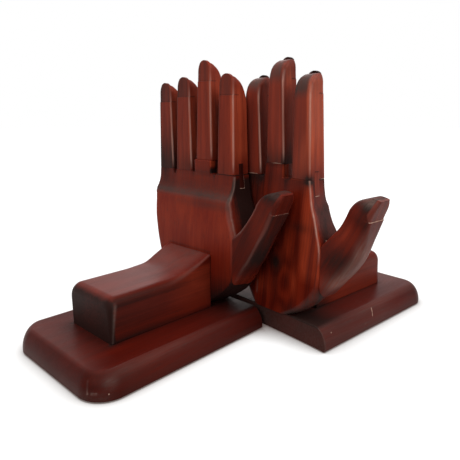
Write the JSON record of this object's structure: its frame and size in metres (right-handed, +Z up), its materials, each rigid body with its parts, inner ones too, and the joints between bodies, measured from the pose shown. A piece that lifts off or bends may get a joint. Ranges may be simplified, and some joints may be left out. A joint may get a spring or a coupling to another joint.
{
  "type": "hand-shaped bookend pair",
  "caption": "Pair of wooden bookends shaped as mirrored open hands, each standing on a rounded base board with a forearm block behind the palm.",
  "frame": {"origin": "on the shelf, under the middle of the box around the pair at rest", "axes": "+X from the left hand's forearm to the right hand's, across both book faces; +Y from the thumbs to the little fingers; +Z up"},
  "size_m": [0.3346, 0.217, 0.2223],
  "materials": {
    "wood": "satin red-brown stain and lacquer",
    "tongue_wood": "stained with the hand, flush at the edge",
    "dowel_wood": "bare",
    "steel": "plain",
    "felt": "felt"
  },
  "bodies": {
    "left_bookend": {"left_base_plate": "wood", "left_felt_pad": "felt", "left_forearm": "wood", "left_palm": "wood", "left_thumb": "wood", "left_index_finger": "wood", "left_index_tongue": "tongue_wood", "left_middle_finger": "wood", "left_middle_tongue": "tongue_wood", "left_ring_finger": "wood", "left_ring_tongue": "tongue_wood", "left_little_finger": "wood", "left_little_tongue": "tongue_wood", "left_thumb_dowel_lower": "dowel_wood", "left_thumb_dowel_upper": "dowel_wood", "left_wrist_dowel_inner": "dowel_wood", "left_wrist_dowel_outer": "dowel_wood", "left_base_screw_front": "steel", "left_base_screw_middle": "steel", "left_base_screw_rear": "steel"},
    "right_bookend": {"right_base_plate": "wood", "right_felt_pad": "felt", "right_forearm": "wood", "right_palm": "wood", "right_thumb": "wood", "right_index_finger": "wood", "right_index_tongue": "tongue_wood", "right_middle_finger": "wood", "right_middle_tongue": "tongue_wood", "right_ring_finger": "wood", "right_ring_tongue": "tongue_wood", "right_little_finger": "wood", "right_little_tongue": "tongue_wood", "right_thumb_dowel_lower": "dowel_wood", "right_thumb_dowel_upper": "dowel_wood", "right_wrist_dowel_inner": "dowel_wood", "right_wrist_dowel_outer": "dowel_wood", "right_base_screw_front": "steel", "right_base_screw_middle": "steel", "right_base_screw_rear": "steel"}
  },
  "joints": [
    {"name": "spread", "type": "slide", "parent": "left_bookend", "child": "right_bookend", "axis": [1, 0, 0], "range_m": [0, 0.3]}
  ]
}
